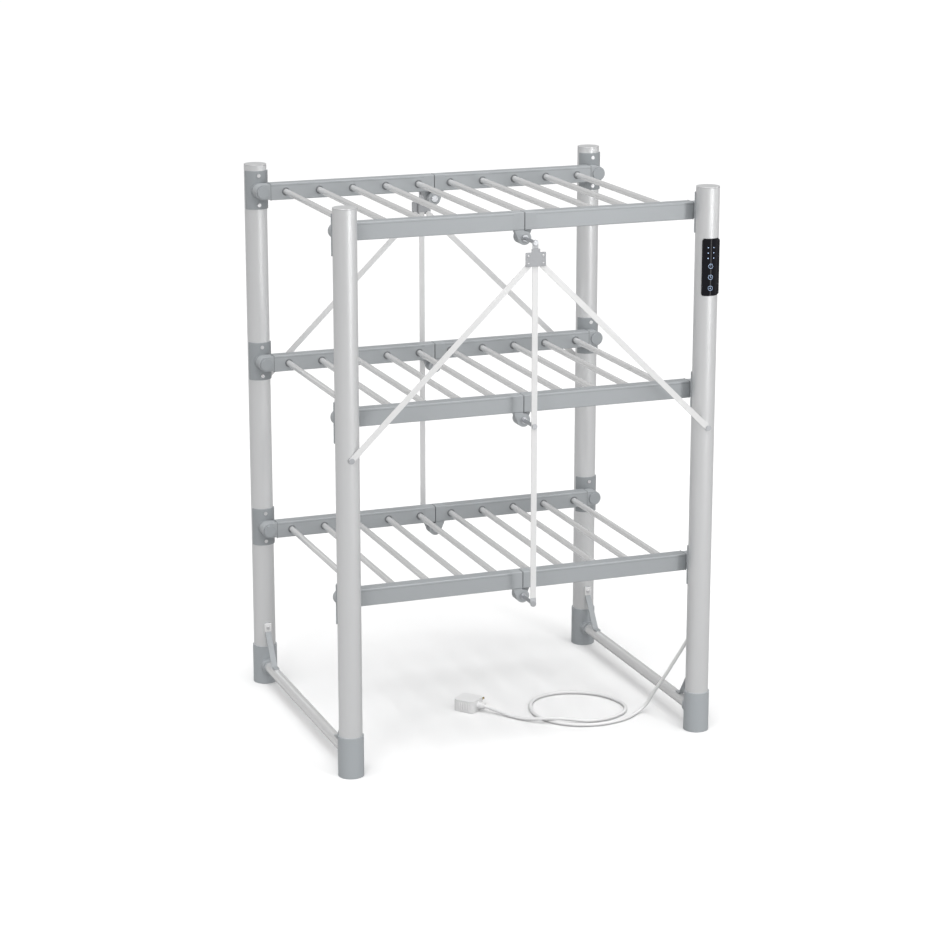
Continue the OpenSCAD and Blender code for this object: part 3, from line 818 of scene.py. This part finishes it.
class AIRER_OT_shelves(bpy.types.Operator):
    """Finishes the rails, the hinge mouldings, the heated tubes and the grommets round them, and puts dark
    sheets of painted shade in the rails' gaps
    """

    bl_idname = "airer.shelves"
    bl_label = "Shelves"

    def execute(self, context):
        sizes = context.scene.airer_sizes
        # Dark material for the real grommets and for the sheets of painted shade in the rails' gaps
        dark = finish("grommet_rubber_and_gap_shade", context.scene.airer_colours.dark, 0.6, 0.0, grain=2000)
        for tier in TIERS:
            for side in SIDES:
                for part in ("tubes", "heaters"):
                    node = f"{tier}_{side}_{part}"
                    paint(node, finish_for(slot_of(node)))
                for part, width in (("rails", sizes.fastener_edge), ("hinge_ends", sizes.moulding_edge)):
                    node = f"{tier}_{side}_{part}"
                    finished_copy(node, width, finish_for(slot_of(node)))
                self.grommets(tier, side, sizes, dark)
            for side in SIDES:
                self.gap_shade_sheets(tier, side, sizes, dark)
        return {"FINISHED"}

    def gap_shade_sheets(self, tier, side, sizes, dark):
        """Dark sheets of painted shade in the gaps at the rails' ends by the legs and, on the right half, in
        the seam of the shelf.
        """
        shapes = [("end", sign_of(side) * RAIL_OUTER_END, END_GAP_SHADE_SIZE)]
        if side == "right":
            shapes.insert(0, ("seam", SEAM_GAP_SHADE_PLACE, SEAM_GAP_SHADE_SIZE))
        pieces = []
        for name, across, size in shapes:
            bpy.ops.mesh.primitive_cube_add(size=1.0)
            gap_shade_sheet = bpy.context.object
            gap_shade_sheet.scale = size
            round_edges(settle(gap_shade_sheet, "gap_shade_sheet"), sizes.gap_shade_edge)
            height = height_of(f"{tier}_{side}_rails")
            pieces.append(repeated(gap_shade_sheet, [(across, end * RAIL_MIDDLE, height) for end in (-1, 1)], name))
        piece = smooth(joined(pieces, f"{tier}_{side}_seals"))
        # The sheets carry the dark material as painted shade in the gaps
        carry(piece, f"{tier}_{side}_shelf", dark)

    def grommets(self, tier, side, sizes, dark):
        """A rubber ring where each heated tube enters a rail."""
        bpy.ops.mesh.primitive_torus_add(
            major_segments=24, minor_segments=8, major_radius=sizes.grommet_radius,
            minor_radius=sizes.grommet_thickness, rotation=(math.pi / 2, 0, 0),
        )
        ring = settle(bpy.context.object, "ring")
        height = height_of(f"{tier}_{side}_rails")
        places = [
            (sign_of(side) * (FIRST_TUBE + TUBE_PITCH * n), end * RAIL_INNER_FACE, height)
            for n in range(TUBES_IN_HALF)
            for end in (-1, 1)
        ]
        piece = smooth(repeated(ring, places, f"{tier}_{side}_grommets"), 60)
        carry(piece, f"{tier}_{side}_shelf", dark)


class AIRER_OT_stays(bpy.types.Operator):
    """Finishes the straps, stays, runners and centre pins"""

    bl_idname = "airer.stays"
    bl_label = "Straps and stays"

    def execute(self, context):
        sizes = context.scene.airer_sizes
        for end in ENDS:
            finished_copy(f"{end}_strap", sizes.metal_edge, strap_finish())
            finished_copy(f"{end}_runner", sizes.runner_edge, finish_for("runner_steel"))
            self.rivet_heads(end, sizes)
            for side in SIDES:
                finished_copy(f"{end}_{side}_stay", sizes.metal_edge, finish_for("strap_white"))
        for tier in TIERS:
            finished_copy(f"{tier}_centre_pins", sizes.fastener_edge, finish_for("pin_steel"))
        return {"FINISHED"}

    def rivet_heads(self, end, sizes):
        """Domed rivet heads on a runner's plate, two for each stay."""
        low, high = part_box(f"{end}_runner")
        depth = low.y + RIVET_SUNK if end == "front" else high.y - RIVET_SUNK
        bpy.ops.mesh.primitive_uv_sphere_add(segments=20, ring_count=10, radius=sizes.rivet_radius)
        head = bpy.context.object
        head.scale = (1, RIVET_FLATNESS, 1)
        settle(head, "rivet")
        places = [(side * RIVET_ACROSS, depth, height) for side in (-1, 1) for height in RIVET_HEIGHTS]
        piece = smooth(repeated(head, places, f"{end}_runner_rivets"), 60)
        carry(piece, f"{end}_runner", finish_for("screw_steel"))


class AIRER_OT_panel(bpy.types.Operator):
    """Finishes the control panel and sets its lamps and touch keys"""

    bl_idname = "airer.panel"
    bl_label = "Control panel"

    def execute(self, context):
        sizes = context.scene.airer_sizes
        finished_copy("control_panel", sizes.panel_edge, finish_for("panel_black"), shaped=self.round_corners)
        paint("control_board", finish_for("board_green"))
        marks = self.lamps(sizes) + self.keys(sizes)
        for piece, across, height in marks:
            self.wrap(piece, across, height)
        lights = smooth(joined([piece for piece, _, _ in marks], "panel_marks"), 40)
        bpy.ops.object.mode_set(mode="EDIT")
        bpy.ops.mesh.select_all(action="SELECT")
        bpy.ops.mesh.normals_make_consistent(inside=False)
        bpy.ops.object.mode_set(mode="OBJECT")
        carry(lights, "right_frame", glow_finish())
        return {"FINISHED"}

    def lamps(self, sizes):
        """Three rows of two round lamps, made flat, each with its place on the panel."""
        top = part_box("control_panel")[1].z
        bpy.ops.mesh.primitive_cylinder_add(vertices=20, radius=sizes.lamp_radius, depth=0.0003)
        lamp = settle(bpy.context.object, "lamp")
        marks = [
            (copied(lamp), side * LAMP_ACROSS, top - LAMP_BELOW_TOP - LAMP_PITCH * row)
            for row in range(3)
            for side in (-1, 1)
        ]
        bpy.data.objects.remove(lamp)
        return marks

    def keys(self, sizes):
        """Three ring-shaped touch keys with bars inside, made flat, each with its place on the panel."""
        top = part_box("control_panel")[1].z
        bpy.ops.mesh.primitive_torus_add(
            major_segments=40, minor_segments=8, major_radius=sizes.key_radius, minor_radius=sizes.key_line
        )
        ring = settle(bpy.context.object, "key_ring")
        marks = []
        for row, bars in enumerate(KEY_BARS):
            height = top - KEY_BELOW_TOP - KEY_PITCH * row
            marks.append((copied(ring), 0.0, height))
            for turn, size, shift in bars:
                bpy.ops.mesh.primitive_cylinder_add(
                    vertices=12, radius=sizes.key_line, depth=size, rotation=(math.pi / 2, 0, 0)
                )
                bar = settle(bpy.context.object, f"key_bar_{row}")
                moved(bar, Matrix.Rotation(math.radians(-turn), 4, "Z") @ Matrix.Translation((0, shift, 0)))
                marks.append((bar, 0.0, height))
        bpy.data.objects.remove(ring)
        return marks

    def wrap(self, piece, across, height):
        """Lays a flat mark on the panel's curved face."""
        for vertex in piece.data.vertices:
            angle = math.radians(MARKS_TURN) + (across + vertex.co.x) / PANEL_RADIUS
            reach = PANEL_RADIUS + 0.00002 + vertex.co.z * 0.5
            vertex.co = Vector((
                LEG.x + reach * math.sin(angle), LEG.y - reach * math.cos(angle), height + vertex.co.y,
            ))
        piece.data.update()

    def round_corners(self, piece):
        """Rounds the four corners of the panel's curved plate."""
        low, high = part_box("control_panel")
        mesh = piece.data

        def at_corner(index):
            at = mesh.vertices[index].co
            level = min(abs(at.z - low.z), abs(at.z - high.z)) < 2 * MERGE_DISTANCE
            turn = abs(math.atan2(at.x - LEG.x, LEG.y - at.y))
            return level and turn > math.radians(PANEL_HALF_TURN - 1)

        work_on(piece)
        bpy.ops.object.mode_set(mode="EDIT")
        bpy.ops.mesh.select_all(action="DESELECT")
        bpy.ops.mesh.select_mode(type="EDGE")
        bpy.ops.object.mode_set(mode="OBJECT")
        for edge in mesh.edges:
            edge.select = at_corner(edge.vertices[0]) and at_corner(edge.vertices[1])
        bpy.ops.object.mode_set(mode="EDIT")
        bpy.ops.mesh.bevel(offset=bpy.context.scene.airer_sizes.panel_corner, segments=5, affect="EDGES")
        bpy.ops.object.mode_set(mode="OBJECT")


class AIRER_OT_stage(bpy.types.Operator):
    """Sets the pale floor and the soft studio lights"""

    bl_idname = "airer.stage"
    bl_label = "Studio"

    def execute(self, context):
        scene = context.scene
        deselect()
        bpy.ops.mesh.primitive_plane_add(size=60, location=(0, 0, -0.0003))
        floor = settle(bpy.context.object, "studio_floor")
        floor.data.materials.append(self.floor_finish(scene.airer_colours.floor))
        for name, place, size, power in SOFT_BOXES:
            data = bpy.data.lights.new(name, "AREA")
            data.shape = "RECTANGLE"
            data.size, data.size_y = size
            data.energy = power
            self.aimed_light(scene, data, place)
        for name, place, strength, spread in BROAD_LIGHTS:
            data = bpy.data.lights.new(name, "SUN")
            data.energy = strength
            data.angle = math.radians(spread)
            self.aimed_light(scene, data, place)
        world = bpy.data.worlds.new("studio")
        world.use_nodes = True
        new, link = world.node_tree.nodes.new, world.node_tree.links.new
        background = world.node_tree.nodes["Background"]
        background.inputs["Color"].default_value = (1.0, 1.0, 1.0, 1.0)
        seen, level = new("ShaderNodeLightPath"), new("ShaderNodeMapRange")
        level.inputs["To Min"].default_value = WORLD_LIGHT
        level.inputs["To Max"].default_value = WORLD_SEEN
        link(seen.outputs["Is Camera Ray"], level.inputs["Value"])
        link(level.outputs["Result"], background.inputs["Strength"])
        scene.world = world
        scene.view_settings.view_transform = "Standard"
        return {"FINISHED"}

    def aimed_light(self, scene, data, place):
        """Puts a light in its place, turned toward the middle of the airer."""
        light = bpy.data.objects.new(data.name, data)
        light.location = place
        aim = LIGHTS_AIM - Vector(place)
        light.rotation_euler = aim.to_track_quat("-Z", "Y").to_euler()
        light.visible_camera = False
        scene.collection.objects.link(light)

    def floor_finish(self, colour):
        """Pale floor paper that sends less light back to the airer than it shows."""
        material = finish(
            "studio_floor", colour, 0.85, 0.0, grain=40, tint=0.01, bump=0.0, scuffs=0.0, specular=0.1
        )
        new, link = material.node_tree.nodes.new, material.node_tree.links.new
        surface, _, shader = surface_nodes(material)
        seen, level, shade = new("ShaderNodeLightPath"), new("ShaderNodeMapRange"), new("ShaderNodeVectorMath")
        shade.operation = "SCALE"
        level.inputs["To Min"].default_value = FLOOR_BOUNCE
        link(seen.outputs["Is Camera Ray"], level.inputs["Value"])
        link(surface.outputs["Colour"], shade.inputs[0])
        link(level.outputs["Result"], shade.inputs["Scale"])
        link(shade.outputs["Vector"], shader.inputs["Base Color"])
        return material


OPERATORS = (
    AIRER_OT_camera, AIRER_OT_mains_lead, AIRER_OT_lead_gland, AIRER_OT_frames, AIRER_OT_pivots,
    AIRER_OT_shelves,
    AIRER_OT_stays, AIRER_OT_panel, AIRER_OT_stage,
)


class AIRER_PT_sidebar(bpy.types.Panel):
    """Lists the airer's pieces, sizes and colours"""

    bl_idname = "AIRER_PT_sidebar"
    bl_label = "Heated clothes airer"
    bl_space_type = "VIEW_3D"
    bl_region_type = "UI"
    bl_category = "Airer"

    def draw(self, context):
        layout = self.layout
        for operator in OPERATORS:
            layout.operator(operator.bl_idname)
        for settings in (context.scene.airer_sizes, context.scene.airer_colours):
            box = layout.box()
            for name in settings.__annotations__:
                box.prop(settings, name)


CLASSES = (AirerSizes, AirerColours, *OPERATORS, AIRER_PT_sidebar)


def register():
    for cls in CLASSES:
        bpy.utils.register_class(cls)
    bpy.types.Scene.airer_sizes = PointerProperty(type=AirerSizes)
    bpy.types.Scene.airer_colours = PointerProperty(type=AirerColours)


def unregister():
    del bpy.types.Scene.airer_colours
    del bpy.types.Scene.airer_sizes
    for cls in reversed(CLASSES):
        bpy.utils.unregister_class(cls)


def main():
    """Makes every piece in turn."""
    register()
    for make in (
        bpy.ops.airer.camera, bpy.ops.airer.mains_lead, bpy.ops.airer.lead_gland, bpy.ops.airer.frames,
        bpy.ops.airer.pivots, bpy.ops.airer.shelves, bpy.ops.airer.stays, bpy.ops.airer.panel,
        bpy.ops.airer.stage,
    ):
        make()


if __name__ == "__main__":
    main()
